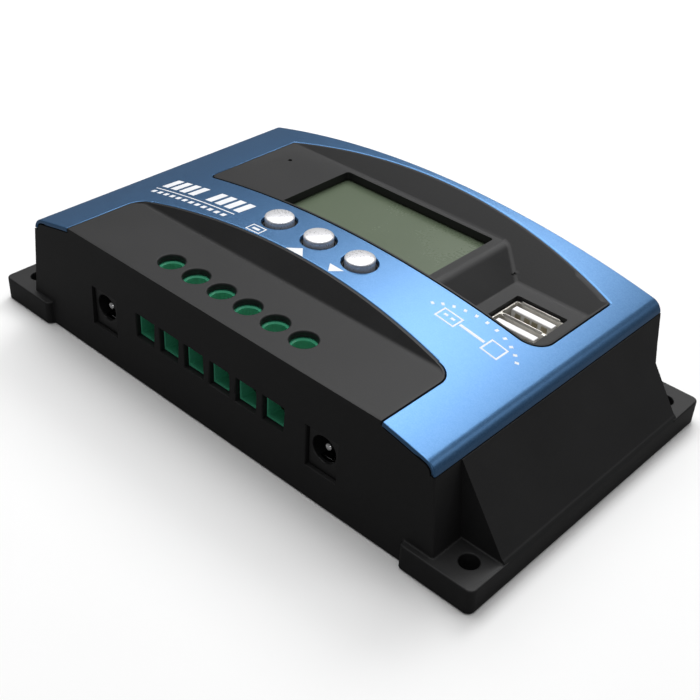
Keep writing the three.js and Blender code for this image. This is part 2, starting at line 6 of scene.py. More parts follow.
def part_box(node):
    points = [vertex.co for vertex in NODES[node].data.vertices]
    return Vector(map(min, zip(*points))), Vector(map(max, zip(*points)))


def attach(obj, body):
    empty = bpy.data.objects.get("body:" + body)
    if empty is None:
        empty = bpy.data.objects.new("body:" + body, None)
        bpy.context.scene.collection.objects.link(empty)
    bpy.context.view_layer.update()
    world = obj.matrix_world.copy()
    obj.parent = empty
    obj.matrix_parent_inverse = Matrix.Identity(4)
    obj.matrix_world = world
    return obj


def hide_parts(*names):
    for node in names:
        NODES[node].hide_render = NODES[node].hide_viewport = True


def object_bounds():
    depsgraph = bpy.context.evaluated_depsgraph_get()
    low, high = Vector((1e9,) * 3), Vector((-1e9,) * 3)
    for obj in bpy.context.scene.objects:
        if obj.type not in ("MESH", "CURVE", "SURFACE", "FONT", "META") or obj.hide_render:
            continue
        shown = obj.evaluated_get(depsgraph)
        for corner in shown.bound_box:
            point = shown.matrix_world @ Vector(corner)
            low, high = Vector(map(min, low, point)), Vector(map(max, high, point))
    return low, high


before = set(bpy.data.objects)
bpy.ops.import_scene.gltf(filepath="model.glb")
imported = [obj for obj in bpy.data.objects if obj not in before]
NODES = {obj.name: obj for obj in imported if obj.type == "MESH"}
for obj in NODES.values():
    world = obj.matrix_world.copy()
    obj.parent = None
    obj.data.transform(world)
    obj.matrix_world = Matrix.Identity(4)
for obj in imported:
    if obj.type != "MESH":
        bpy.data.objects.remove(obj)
CAD_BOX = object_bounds()
MM = 0.001


def lo(n):
    return [v * 1000 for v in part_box(n)[0]]


def hi(n):
    return [v * 1000 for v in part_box(n)[1]]


# ------------------------------------------------------------ dimensions (mm)
# read from the frame where a node's box gives them, otherwise the same driving
# dimensions as the CAD model
H0, H1 = lo("main_housing"), hi("main_housing")
F0, F1 = lo("top_fascia"), hi("top_fascia")
LENGTH, WIDTH = H1[0] - H0[0], H1[1] - H0[1]
EAR_Z, EAR_X, EAR_Y, FOOT_X = 6.0, 64.2, 31.8, 57.0
HOLE_X, HOLE_Y, HOLE_D = 69.4, 35.8, 4.2
BODY_Y0, BODY_Y1, BODY_X0, BODY_X1 = 40.5, 39.65, 65.0, F1[0]
EDGE_Z = F0[2]
SKIRT_X, SKIRT_Z, FLANGE_Z, WALL = 74.0, 6.8, 5.4, 2.2
ARCH_R, ARCH_TOP, ARCH_FILLET = 260.0, F1[2], 3.2
FASCIA_T, LIP, ROOF, DECK_ROOF, GAP = 0.9, 0.45, 2.0, 1.5, 0.3
DECK_Z, DECK_HALF, CREASE_Y, DECK_SLOPE, DECK_CORNER = 29.9, 48.0, -19.24, 0.97, 3.5
REC_Z, REC_Y0, REC_YB, REC_SLOPE, REC_X0, REC_X1, REC_R = 30.4, 2.05, 30.5, 1.43, -45.2, 54.5, 4.6
POCKET_Z, POCKET_X, FLAT_X = 25.84, 33.3, 25.4
WIN = (-24.2, 22.3, 4.0, 29.2)
PITCH, POLES, ROW_Y = 8.25, 6, -31.4
ROW_X = (lo("terminal_screw_1")[0] + hi("terminal_screw_6")[0]) / 2
SCREW_HOLE_D, WIRE_W, WIRE_Z0, WIRE_Z1 = 6.1, 6.2, 12.3, 18.5
JACK_X = [(lo("socket_" + s)[0] + hi("socket_" + s)[0]) / 2 for s in ("left", "right")]
JACK_HALF, JACK_Z0, JACK_Z1, JACK_BORE_Z, JACK_FACE_Y = 4.1, 8.3, 18.0, 13.9, lo("socket_left")[1]
U0, U1 = lo("usb_shell"), hi("usb_shell")
USB = dict(x0=U0[0], x1=U1[0], y0=U0[1], y1=U1[1], top=U1[2])
BTN_X = [(lo("button_%d" % i)[0] + hi("button_%d" % i)[0]) / 2 for i in (1, 2, 3)]
BTN_Y, BTN_D, WELL_D = -6.2, 6.9, 8.4
PLATE_Z, PLATE_T = 1.8, 2.0
PCB_TOP, DISP_Z, DISP_T = 8.0, 22.6, 1.6
BASE_SCREWS = [(-56.2, -34.6), (56.2, -34.6), (56.2, 34.6), (-56.2, 34.6)]
DISP_SCREWS = [(-29.4, -10.4, 29.2), (29.4, -10.4, 29.2), (29.4, 26.0, 27.0), (-29.4, 26.0, 28.8)]


def pole(i):
    return ROW_X + (i - (POLES - 1) / 2) * PITCH


# ------------------------------------------------------------------ mesh tools
COL = bpy.context.scene.collection


def obj_from_bm(bm, name="tmp"):
    me = bpy.data.meshes.new(name)
    bm.to_mesh(me)
    bm.free()
    o = bpy.data.objects.new(name, me)
    COL.objects.link(o)
    return o


def prism(pts, axis, a, b):
    """closed prism of a 2-D outline along axis X, Y or Z, from a to b"""
    bm = bmesh.new()
    n = len(pts)

    def at(p, t):
        if axis == "Z":
            return (p[0], p[1], t)
        if axis == "Y":
            return (p[0], t, p[1])
        return (t, p[0], p[1])

    v0 = [bm.verts.new(at(p, a)) for p in pts]
    v1 = [bm.verts.new(at(p, b)) for p in pts]
    bm.faces.new(v0[::-1])
    bm.faces.new(v1)
    for i in range(n):
        j = (i + 1) % n
        bm.faces.new((v0[i], v0[j], v1[j], v1[i]))
    bmesh.ops.recalc_face_normals(bm, faces=bm.faces)
    return obj_from_bm(bm)


def box(x0, x1, y0, y1, z0, z1):
    return prism([(x0, y0), (x1, y0), (x1, y1), (x0, y1)], "Z", z0, z1)


def lathe(profile, x, y, n=64, axis="Z", z=0.0):
    """turned solid; profile is (r, t) from the axis round to the axis"""
    bm = bmesh.new()
    rings = []
    for r, t in profile:
        if r < 1e-6:
            rings.append([bm.verts.new((0, 0, t))])
        else:
            rings.append([bm.verts.new((r * math.cos(2 * math.pi * k / n), r * math.sin(2 * math.pi * k / n), t)) for k in range(n)])
    for a, b in zip(rings, rings[1:]):
        for k in range(n):
            m = (k + 1) % n
            if len(a) == 1 and len(b) > 1:
                bm.faces.new((a[0], b[k], b[m]))
            elif len(b) == 1 and len(a) > 1:
                bm.faces.new((a[k], a[m], b[0]))
            elif len(a) > 1:
                bm.faces.new((a[k], a[m], b[m], b[k]))
    bmesh.ops.recalc_face_normals(bm, faces=bm.faces)
    if axis == "Y":
        bmesh.ops.transform(bm, matrix=Matrix.Rotation(-math.pi / 2, 4, "X"), verts=bm.verts)
        bmesh.ops.transform(bm, matrix=Matrix.Translation((x, y, z)), verts=bm.verts)
    else:
        bmesh.ops.transform(bm, matrix=Matrix.Translation((x, y, z)), verts=bm.verts)
    return obj_from_bm(bm)


def cyl(x, y, d, z0, z1, n=64):
    return lathe([(0, z0), (d / 2, z0), (d / 2, z1), (0, z1)], x, y, n)


def cyl_y(x, z, d, y0, y1, n=64):
    return lathe([(0, 0), (d / 2, 0), (d / 2, y1 - y0), (0, y1 - y0)], x, y0, n, "Y", z)


def rrect(x0, x1, y0, y1, r, n=10):
    rr = list(r) if isinstance(r, (list, tuple)) else [r] * 4
    pts = []
    for (cx, cy, rad, a0) in ((x0 + rr[0], y0 + rr[0], rr[0], math.pi), (x1 - rr[1], y0 + rr[1], rr[1], 1.5 * math.pi),
                              (x1 - rr[2], y1 - rr[2], rr[2], 0.0), (x0 + rr[3], y1 - rr[3], rr[3], 0.5 * math.pi)):
        if rad < 1e-6:
            pts.append((cx, cy))
        else:
            for i in range(n + 1):
                a = a0 + math.pi / 2 * i / n
                pts.append((cx + rad * math.cos(a), cy + rad * math.sin(a)))
    return pts


def boolean(o, op, *others):
    for t in others:
        m = o.modifiers.new("b", "BOOLEAN")
        m.operation = op
        m.solver = "MANIFOLD"
        m.object = t
        dg = bpy.context.evaluated_depsgraph_get()
        me = bpy.data.meshes.new_from_object(o.evaluated_get(dg))
        o.modifiers.clear()
        old = o.data
        o.data = me
        bpy.data.meshes.remove(old)
        bpy.data.objects.remove(t, do_unlink=True)
    return o


def cut(o, *t):
    return boolean(o, "DIFFERENCE", *t)


def add(o, *t):
    return boolean(o, "UNION", *t)


def meet(o, *t):
    return boolean(o, "INTERSECT", *t)


def copy_of(o):
    c = bpy.data.objects.new("tmp", o.data.copy())
    COL.objects.link(c)
    return c


def tidy(o, angle=0.06, merge=0.002):
    bm = bmesh.new()
    bm.from_mesh(o.data)
    bmesh.ops.remove_doubles(bm, verts=bm.verts, dist=merge)
    bmesh.ops.dissolve_degenerate(bm, edges=bm.edges, dist=merge)
    bmesh.ops.dissolve_limit(bm, angle_limit=math.radians(angle), use_dissolve_boundaries=False, verts=bm.verts, edges=bm.edges)
    bm.to_mesh(o.data)
    bm.free()
    return o


def bevel(o, rules, default=None, seg=3):
    """rounds the sharp edges; rules is a list of (test, width, segments): the first test(mid, e) that holds sets the width, 0 leaves the edge"""
    bm = bmesh.new()
    bm.from_mesh(o.data)
    lay = bm.edges.layers.int.new("bv")
    groups = {}
    for e in bm.edges:
        if len(e.link_faces) != 2:
            continue
        ang = e.calc_face_angle(0)
        if ang < math.radians(24):
            continue
        mid = (e.verts[0].co + e.verts[1].co) / 2
        w, s = default, seg
        for test, ww, ss in rules:
            if test(mid, e):
                w, s = ww, ss
                break
        if w:
            groups.setdefault((w, s), []).append(e)
    keys = sorted(groups, reverse=True)
    for i, k in enumerate(keys):
        for e in groups[k]:
            e[lay] = i + 1
    for i, (w, s) in enumerate(keys):
        es = [e for e in bm.edges if e.is_valid and e[lay] == i + 1]
        if es:
            bmesh.ops.bevel(bm, geom=es, offset=w, offset_type="OFFSET", segments=s, profile=0.5, affect="EDGES", clamp_overlap=False, loop_slide=True, harden_normals=False)
    bmesh.ops.remove_doubles(bm, verts=bm.verts, dist=0.0015)
    bmesh.ops.dissolve_degenerate(bm, edges=bm.edges, dist=0.001)
    bmesh.ops.recalc_face_normals(bm, faces=bm.faces)
    bm.edges.layers.int.remove(bm.edges.layers.int["bv"])
    bm.to_mesh(o.data)
    bm.free()
    return o


def smooth(o, angle=38, weighted=True):
    me = o.data
    for p in me.polygons:
        p.use_smooth = True
    me.set_sharp_from_angle(angle=math.radians(angle))
    if weighted:
        m = o.modifiers.new("wn", "WEIGHTED_NORMAL")
        m.mode = "FACE_AREA"
        m.weight = 100
        m.keep_sharp = True
    return o


def finish(o, name, nodes, body, mat, scale=True, angle=38, weighted=True):
    """millimetres to metres, name, material, smooth shading, and its place in the frame"""
    if scale:
        o.data.transform(Matrix.Scale(MM, 4))
    o.name = name
    o.data.name = name
    o.data.materials.clear()
    o.data.materials.append(mat)
    smooth(o, angle, weighted)
    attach(o, body)
    if nodes:
        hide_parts(*nodes)
    return o


# ------------------------------------------------------------------- materials
def new_mat(name):
    m = bpy.data.materials.new(name)
    m.use_nodes = True
    nt = m.node_tree
    for n in list(nt.nodes):
        nt.nodes.remove(n)
    out = nt.nodes.new("ShaderNodeOutputMaterial")
    b = nt.nodes.new("ShaderNodeBsdfPrincipled")
    nt.links.new(b.outputs[0], out.inputs[0])
    return m, nt, b


def ramp(nt, src, stops):
    r = nt.nodes.new("ShaderNodeValToRGB")
    el = r.color_ramp.elements
    while len(el) < len(stops):
        el.new(0.5)
    for e, (p, c) in zip(el, stops):
        e.position = p
        e.color = (c, c, c, 1) if isinstance(c, (int, float)) else (*c, 1)
    nt.links.new(src, r.inputs[0])
    return r.outputs[0]


def coords(nt):
    t = nt.nodes.new("ShaderNodeTexCoord")
    return t.outputs["Object"]


def noise_tex(nt, vec, scale, detail=4.0, rough=0.5, dist=0.0):
    n = nt.nodes.new("ShaderNodeTexNoise")
    n.inputs["Scale"].default_value = scale
    n.inputs["Detail"].default_value = detail
    n.inputs["Roughness"].default_value = rough
    n.inputs["Distortion"].default_value = dist
    nt.links.new(vec, n.inputs["Vector"])
    return n.outputs["Fac"]


def voronoi(nt, vec, scale, feature="F1"):
    n = nt.nodes.new("ShaderNodeTexVoronoi")
    n.feature = feature
    n.inputs["Scale"].default_value = scale
    nt.links.new(vec, n.inputs["Vector"])
    return n


def math_node(nt, op, a, b=None):
    n = nt.nodes.new("ShaderNodeMath")
    n.operation = op
    for i, v in enumerate((a, b)):
        if v is None:
            continue
        if isinstance(v, (int, float)):
            n.inputs[i].default_value = v
        else:
            nt.links.new(v, n.inputs[i])
    return n.outputs[0]


def mix_col(nt, fac, a, b, blend="MIX"):
    n = nt.nodes.new("ShaderNodeMix")
    n.data_type = "RGBA"
    n.blend_type = blend
    if isinstance(fac, (int, float)):
        n.inputs["Factor"].default_value = fac
    else:
        nt.links.new(fac, n.inputs["Factor"])
    for i, v in (("A", a), ("B", b)):
        s = [x for x in n.inputs if x.name == i and x.type == "RGBA"][0]
        if isinstance(v, tuple):
            s.default_value = (*v, 1)
        else:
            nt.links.new(v, s)
    return [x for x in n.outputs if x.type == "RGBA"][0]


def bump(nt, bsdf, height, strength, distance=0.0001, normal=None):
    n = nt.nodes.new("ShaderNodeBump")
    n.inputs["Strength"].default_value = strength
    n.inputs["Distance"].default_value = distance
    nt.links.new(height, n.inputs["Height"])
    if normal is not None:
        nt.links.new(normal, n.inputs["Normal"])
    nt.links.new(n.outputs[0], bsdf.inputs["Normal"])
    return n.outputs[0]


def plastic(name, c_dark, c_light, rough=(0.42, 0.55), grain=2600, strength=0.25, spec=0.5, blotch=60, edge=None):
    """moulded plastic: fine spark-eroded grain, faint flow mottling"""
    m, nt, b = new_mat(name)
    v = coords(nt)
    big = noise_tex(nt, v, blotch, 5, 0.6)
    fine = noise_tex(nt, v, grain, 3, 0.6)
    f = math_node(nt, "ADD", math_node(nt, "MULTIPLY", big, 0.6), math_node(nt, "MULTIPLY", fine, 0.4))
    col = mix_col(nt, ramp(nt, f, [(0.3, 0.0), (0.7, 1.0)]), c_dark, c_light)
    nt.links.new(col, b.inputs["Base Color"])
    nt.links.new(ramp(nt, f, [(0.3, rough[0]), (0.7, rough[1])]), b.inputs["Roughness"])
    b.inputs["Specular IOR Level"].default_value = spec
    bump(nt, b, fine, strength, 0.00006)
    return m


def metal(name, c_dark, c_light, rough=(0.25, 0.4), scale=(400, 400, 6000), strength=0.15):
    """plated or brushed metal: streaks along one direction and faint tarnish"""
    m, nt, b = new_mat(name)
    v = coords(nt)
    mp = nt.nodes.new("ShaderNodeMapping")
    mp.inputs["Scale"].default_value = scale
    nt.links.new(v, mp.inputs["Vector"])
    st = noise_tex(nt, mp.outputs[0], 1.0, 4, 0.6)
    big = noise_tex(nt, v, 180, 3, 0.6)
    f = math_node(nt, "ADD", math_node(nt, "MULTIPLY", st, 0.6), math_node(nt, "MULTIPLY", big, 0.4))
    nt.links.new(mix_col(nt, ramp(nt, f, [(0.35, 0.0), (0.65, 1.0)]), c_dark, c_light), b.inputs["Base Color"])
    nt.links.new(ramp(nt, f, [(0.3, rough[0]), (0.7, rough[1])]), b.inputs["Roughness"])
    b.inputs["Metallic"].default_value = 1.0
    bump(nt, b, st, strength, 0.00003)
    return m


def blue_paint():
    """satin metallic paint: two-scale flake in colour and in the normal, under a thin satin coat"""
    m, nt, b = new_mat("blue_metallic_paint")
    v = coords(nt)
    flake = voronoi(nt, v, 4200)
    big = noise_tex(nt, v, 45, 4, 0.55)
    mid = noise_tex(nt, v, 900, 3, 0.6)
    sep = nt.nodes.new("ShaderNodeSeparateColor")
    nt.links.new(flake.outputs["Color"], sep.inputs[0])
    f = math_node(nt, "ADD", math_node(nt, "MULTIPLY", sep.outputs[0], 0.45), math_node(nt, "ADD", math_node(nt, "MULTIPLY", mid, 0.35), math_node(nt, "MULTIPLY", big, 0.2)))
    col = mix_col(nt, ramp(nt, f, [(0.2, 0.0), (0.8, 1.0)]), (0.056, 0.158, 0.330), (0.086, 0.205, 0.395))
    nt.links.new(col, b.inputs["Base Color"])
    b.inputs["Metallic"].default_value = 0.86
    nt.links.new(ramp(nt, f, [(0.2, 0.34), (0.8, 0.42)]), b.inputs["Roughness"])
    b.inputs["Coat Weight"].default_value = 0.25
    b.inputs["Coat Roughness"].default_value = 0.32
    bump(nt, b, math_node(nt, "ADD", math_node(nt, "MULTIPLY", sep.outputs[1], 0.5), mid), 0.16, 0.00004)
    return m


BLACK = plastic("black_abs", (0.0175, 0.0175, 0.0179), (0.0245, 0.0245, 0.0251), (0.42, 0.54), 2600, 0.28, 0.22)
BLUE = blue_paint()
GREEN = plastic("green_nylon", (0.060, 0.420, 0.230), (0.090, 0.520, 0.310), (0.28, 0.38), 1800, 0.12, 0.5, 120)
WHITE = plastic("white_lcp", (0.86, 0.855, 0.86), (0.93, 0.925, 0.93), (0.35, 0.5), 1500, 0.1, 0.5, 200)
CHIP = plastic("black_epoxy", (0.010, 0.010, 0.011), (0.018, 0.018, 0.019), (0.5, 0.65), 3500, 0.3, 0.4)
SOCKET = plastic("socket_pbt", (0.0075, 0.0075, 0.008), (0.012, 0.012, 0.0125), (0.35, 0.5), 2200, 0.15, 0.5)
BOARD = plastic("solder_mask", (0.010, 0.085, 0.040), (0.020, 0.130, 0.062), (0.25, 0.4), 700, 0.1, 0.5, 150)
SLEEVE = plastic("sleeve_blue", (0.015, 0.028, 0.075), (0.028, 0.05, 0.12), (0.25, 0.35), 600, 0.1)
FERRITE = plastic("ferrite", (0.028, 0.028, 0.030), (0.055, 0.055, 0.060), (0.6, 0.8), 1500, 0.5, 0.3)
PLATE = metal("plate_aluminium", (0.50, 0.51, 0.52), (0.66, 0.67, 0.68), (0.34, 0.48), (90, 4000, 90), 0.2)
STEEL = metal("zinc_steel", (0.52, 0.52, 0.53), (0.74, 0.74, 0.75), (0.22, 0.36), (1500, 1500, 1500), 0.1)
SHELL = metal("usb_plated_steel", (0.66, 0.64, 0.58), (0.88, 0.85, 0.79), (0.30, 0.42), (500, 5000, 500), 0.12)
NICKEL = metal("bright_nickel", (0.80, 0.80, 0.81), (0.95, 0.95, 0.96), (0.08, 0.18), (800, 800, 800), 0.05)
BRASS = metal("tinned_brass", (0.56, 0.47, 0.27), (0.78, 0.68, 0.44), (0.28, 0.42), (800, 3000, 800), 0.15)


def button_mat():
    m, nt, b = new_mat("button_silver_paint")
    v = coords(nt)
    f = noise_tex(nt, v, 2200, 3, 0.6)
    big = noise_tex(nt, v, 260, 3, 0.5)
    g = math_node(nt, "ADD", math_node(nt, "MULTIPLY", f, 0.6), math_node(nt, "MULTIPLY", big, 0.4))
    nt.links.new(mix_col(nt, ramp(nt, g, [(0.3, 0.0), (0.7, 1.0)]), (0.74, 0.74, 0.77), (0.84, 0.84, 0.86)), b.inputs["Base Color"])
    nt.links.new(ramp(nt, g, [(0.3, 0.24), (0.7, 0.34)]), b.inputs["Roughness"])
    b.inputs["Metallic"].default_value = 0.35
    b.inputs["Coat Weight"].default_value = 0.3
    b.inputs["Coat Roughness"].default_value = 0.2
    bump(nt, b, f, 0.06, 0.00004)
    return m


def lcd_mat():
    """grey-green display behind its front glass: segment field mottling"""
    m, nt, b = new_mat("lcd_glass")
    v = coords(nt)
    big = noise_tex(nt, v, 26, 3, 0.5)
    fine = noise_tex(nt, v, 1500, 2, 0.5)
    f = math_node(nt, "ADD", math_node(nt, "MULTIPLY", big, 0.8), math_node(nt, "MULTIPLY", fine, 0.2))
    nt.links.new(mix_col(nt, ramp(nt, f, [(0.3, 0.0), (0.7, 1.0)]), (0.104, 0.134, 0.088), (0.120, 0.152, 0.100)), b.inputs["Base Color"])
    nt.links.new(ramp(nt, f, [(0.3, 0.22), (0.7, 0.30)]), b.inputs["Roughness"])
    b.inputs["Specular IOR Level"].default_value = 0.35
    bump(nt, b, fine, 0.03, 0.00002)
    return m


BUTTON = button_mat()
LCD = lcd_mat()
CONTACT = metal("usb_contact_gold", (0.62, 0.57, 0.44), (0.80, 0.75, 0.62), (0.24, 0.36), (3000, 500, 500), 0.1)
INK = plastic("white_ink", (0.78, 0.80, 0.83), (0.90, 0.91, 0.93), (0.45, 0.6), 3000, 0.1, 0.4, 300)

# -------------------------------------------------------------- shared shapes
ARCH_CZ = ARCH_TOP - ARCH_R


def arch_line(off, n_arc=96, n_fil=12):
    cx = BODY_X1 - ARCH_FILLET
    cz = ARCH_CZ + math.sqrt((ARCH_R - ARCH_FILLET) ** 2 - cx * cx)
    a1 = math.atan2(cz - ARCH_CZ, cx)
    r = ARCH_FILLET - off
    pts = []
    if r > 0.2:
        for i in range(n_fil + 1):
            a = a1 * i / n_fil
            pts.append((cx + r * math.cos(a), cz + r * math.sin(a)))
    else:
        x = BODY_X1 - off
        pts.append((x, ARCH_CZ + math.sqrt((ARCH_R - off) ** 2 - x * x)))
    R = ARCH_R - off
    s = a1 if r > 0.2 else math.atan2(pts[0][1] - ARCH_CZ, pts[0][0])
    right = list(pts)
    for i in range(1, n_arc):
        a = s + (math.pi - 2 * s) * i / n_arc
        pts.append((R * math.cos(a), ARCH_CZ + R * math.sin(a)))
    for x, z in reversed(right):
        pts.append((-x, z))
    return pts


def arch_z(x, off=0.0):
    return ARCH_CZ + math.sqrt((ARCH_R - off) ** 2 - x * x)


def deck_region(d, n=12):
    h, r, y = DECK_HALF + d, DECK_CORNER + d, CREASE_Y
    plan = [(-h, -60)]
    for i in range(n + 1):
        a = math.pi - math.pi / 2 * i / n
        plan.append((-h + r + r * math.cos(a), y + 0.45 + d - r + r * math.sin(a)))
    plan += [(-h + r + 1.5, y + 9), (h - r - 1.5, y + 9)]
    for i in range(n + 1):
        a = math.pi / 2 - math.pi / 2 * i / n
        plan.append((h - r + r * math.cos(a), y + 0.45 + d - r + r * math.sin(a)))
    plan.append((h, -60))
    return plan


def deck_face(z, d):
    return CREASE_Y + DECK_SLOPE * (z - DECK_Z) + d * math.hypot(1, DECK_SLOPE)


def deck_prism(d, z0, z1, blend=0.0):
    """the front inset; blend rounds the crease between its floor and its rear slope"""
    if blend:
        sl = math.atan2(1, DECK_SLOPE)
        t = blend * math.tan(sl / 2)
        pts = [(-60, z0)]
        cy, cz = deck_face(z0, d) - t, z0 + blend
        for i in range(9):
            a = -math.pi / 2 + sl * i / 8
            pts.append((cy + blend * math.cos(a), cz + blend * math.sin(a)))
        pts += [(deck_face(z1, d), z1), (-60, z1)]
    else:
        pts = [(-60, z0), (deck_face(z0, d), z0), (deck_face(z1, d), z1), (-60, z1)]
    return meet(prism(pts, "X", -70, 70), prism(deck_region(d), "Z", z0 - 1, z1 + 1))


def rec_face(z, d):
    return REC_YB + REC_SLOPE * (z - REC_Z) + d * math.hypot(1, REC_SLOPE)


def recess_prism(d, z0, z1):
    return meet(prism([(REC_Y0 - d, z0), (rec_face(z0, d), z0), (rec_face(z1, d), z1), (REC_Y0 - d, z1)], "X", -70, 70),
                prism(rrect(REC_X0 - d, REC_X1 + d, REC_Y0 - d, 45, [1.5 + d, REC_R + d, 0, 0]), "Z", z0 - 1, z1 + 1))


def recess_floor(d, r_top=5.0, r_bot=1.2):
    """the display flat, the convex shoulder, the slope and the pocket floor with its concave root"""
    slope = math.atan2(REC_Z - POCKET_Z, POCKET_X - FLAT_X)
    t = r_top * math.tan(slope / 2)
    pts = [(-70, REC_Z - d)]
    for i in range(13):
        a = slope * i / 12
        pts.append((FLAT_X - t + r_top * math.sin(a), REC_Z - d - r_top * (1 - math.cos(a))))
    px = POCKET_X - d * math.tan(slope / 2)
    if r_bot:
        tb = r_bot * math.tan(slope / 2)
        for i in range(7):
            a = slope * (1 - i / 6)
            pts.append((px + tb - r_bot * math.sin(a), POCKET_Z - d + r_bot * (1 - math.cos(a))))
    else:
        pts.append((px, POCKET_Z - d))
    pts += [(70, POCKET_Z - d), (70, 60), (-70, 60)]
    return pts


def y_at(z):
    return BODY_Y0 + (BODY_Y1 - BODY_Y0) * z / EDGE_Z


def side_yz(inset):
    return [(-y_at(0) + inset, -2), (y_at(0) - inset, -2), (y_at(0) - inset, 0), (y_at(40) - inset, 40), (-y_at(40) + inset, 40), (-y_at(0) + inset, 0)]


def block_xz(off):
    return [(-BODY_X0 + off, 0), (BODY_X0 - off, 0)] + arch_line(off)


# ------------------------------------------------------------------ main housing
def build_housing():
    s = meet(prism(block_xz(0), "Y", -45, 45), prism(side_yz(0), "X", -80, 80))
    half = LENGTH / 2
    skirt = [(-half, 0), (half, 0), (half, FLANGE_Z), (SKIRT_X + 0.62, SKIRT_Z - 0.42), (SKIRT_X + 0.3, SKIRT_Z - 0.12), (SKIRT_X - 0.1, SKIRT_Z + 0.15),
             (BODY_X1 + 0.2, EDGE_Z - GAP), (-BODY_X1 - 0.2, EDGE_Z - GAP),
             (-SKIRT_X + 0.1, SKIRT_Z + 0.15), (-SKIRT_X - 0.3, SKIRT_Z - 0.12), (-SKIRT_X - 0.62, SKIRT_Z - 0.42), (-half, FLANGE_Z)]
    s = add(s, prism(skirt, "Y", -EAR_Y, EAR_Y))
    wy = WIDTH / 2
    for sx in (-1, 1):
        for sy in (-1, 1):
            x0, x1 = (EAR_X - 2, half) if sx > 0 else (-half, -EAR_X + 2)
            y0, y1 = (EAR_Y - 1, wy) if sy > 0 else (-wy, -EAR_Y + 1)
            r = [0, 0, 0, 0]
            r[(0 if sx < 0 else 1) if sy < 0 else (2 if sx > 0 else 3)] = 1.6
            s = add(s, prism(rrect(x0, x1, y0, y1, r), "Z", 0, EAR_Z))
            x0, x1 = (FOOT_X, half - 4) if sx > 0 else (-half + 4, -FOOT_X)
            y0, y1 = (BODY_Y1 - 1.6, wy) if sy > 0 else (-wy, -BODY_Y1 + 1.6)
            q = [0, 0, 0, 0]
            q[(1 if sx < 0 else 0) if sy < 0 else (3 if sx > 0 else 2)] = 1.2
            s = add(s, prism(rrect(x0, x1, y0, y1, q), "Z", 0, EAR_Z))
    # bed for the fascia with a lip round each inset
    bed = meet(prism(block_xz(-2), "Y", -60, 60), box(-80, 80, -60, 60, EDGE_Z - GAP, 50))
    bed = cut(bed, prism([(-BODY_X1 + FASCIA_T + GAP, 0), (BODY_X1 - FASCIA_T - GAP, 0)] + arch_line(FASCIA_T + GAP), "Y", -70, 70),
              deck_prism(LIP, 10, 45), recess_prism(LIP, 10, 45))
    s = cut(s, bed)
    # insets
    rec = meet(recess_prism(0, 20, 45), prism(recess_floor(0), "Y", -50, 60))
    s = cut(s, deck_prism(0, DECK_Z, 45, 1.6), rec)
    # hollow
    hollow = prism([(-BODY_X0 + WALL + 0.2, -1), (BODY_X0 - WALL - 0.2, -1)] + arch_line(FASCIA_T + GAP + ROOF), "Y", -BODY_Y1 + 1.5, BODY_Y1 - 1.5)
    ends = prism([(-71.2, -1), (71.2, -1), (71.2, 5.6), (61.0, 21.6), (-61.0, 21.6), (-71.2, 5.6)], "Y", -29.4, 29.4)
    under_deck = prism([(-60, DECK_Z - DECK_ROOF), (deck_face(DECK_Z - DECK_ROOF, 2.0), DECK_Z - DECK_ROOF), (deck_face(45, 2.0), 45), (-60, 45)], "X", -52, 52)
    under_rec = meet(prism([(REC_Y0 - 1.8, 10), (rec_face(10, 2.2), 10), (rec_face(45, 2.2), 45), (REC_Y0 - 1.8, 45)], "X", -70, REC_X1 + 1.8),
                     prism(recess_floor(ROOF), "Y", -50, 60))
    inside = cut(add(hollow, ends), under_deck, under_rec)
    s = cut(s, inside)
    # bosses
    for x, y in BASE_SCREWS:
        s = add(s, cyl(x, y, 6.6, PLATE_Z + PLATE_T + GAP, arch_z(56.2) - 2.6, 32))
        s = cut(s, cyl(x, y, 3.0, 0, 14, 32))
    for x, y, top in DISP_SCREWS:
        s = add(s, cyl(x, y, 5.0, DISP_Z + DISP_T + GAP, top, 24))
        s = cut(s, cyl(x, y, 2.7, DISP_Z, top - 1.6, 24))
    # openings
    for i in range(POLES):
        x = pole(i)
        s = cut(s, box(x - WIRE_W / 2, x + WIRE_W / 2, -45, -36, WIRE_Z0, WIRE_Z1))
        s = cut(s, lathe([(0, 26), (SCREW_HOLE_D / 2, 26), (SCREW_HOLE_D / 2, DECK_Z + 0.5), (0, DECK_Z + 0.5)], x, ROW_Y, 64))
    for x in JACK_X:
        s = cut(s, box(x - JACK_HALF - GAP, x + JACK_HALF + GAP, -45, -35, JACK_Z0 - GAP, JACK_Z1 + GAP))
    s = cut(s, prism(rrect(USB["x0"] - GAP, USB["x1"] + GAP, USB["y0"] - GAP, USB["y1"] + GAP, 0.5, 6), "Z", 20, 30))
    s = cut(s, prism(rrect(WIN[0], WIN[1], WIN[2], WIN[3], 0.8, 6), "Z", 26, 33))
    for x in BTN_X:
        s = cut(s, cyl(x, BTN_Y, BTN_D + 2 * GAP, 20, 40, 64))
        s = cut(s, cyl(x, BTN_Y, 9.4, 20, 30.2, 48))
    for sx in (-1, 1):
        for sy in (-1, 1):
            s = cut(s, cyl(sx * HOLE_X, sy * HOLE_Y, HOLE_D, -1, EAR_Z + 1, 48))
    s = cut(s, cyl(-38.7, 22.7, 1.1, 28.9, 32, 24))
    tidy(s)
    return s


def near(v, t, tol=0.12):
    return abs(v - t) < tol


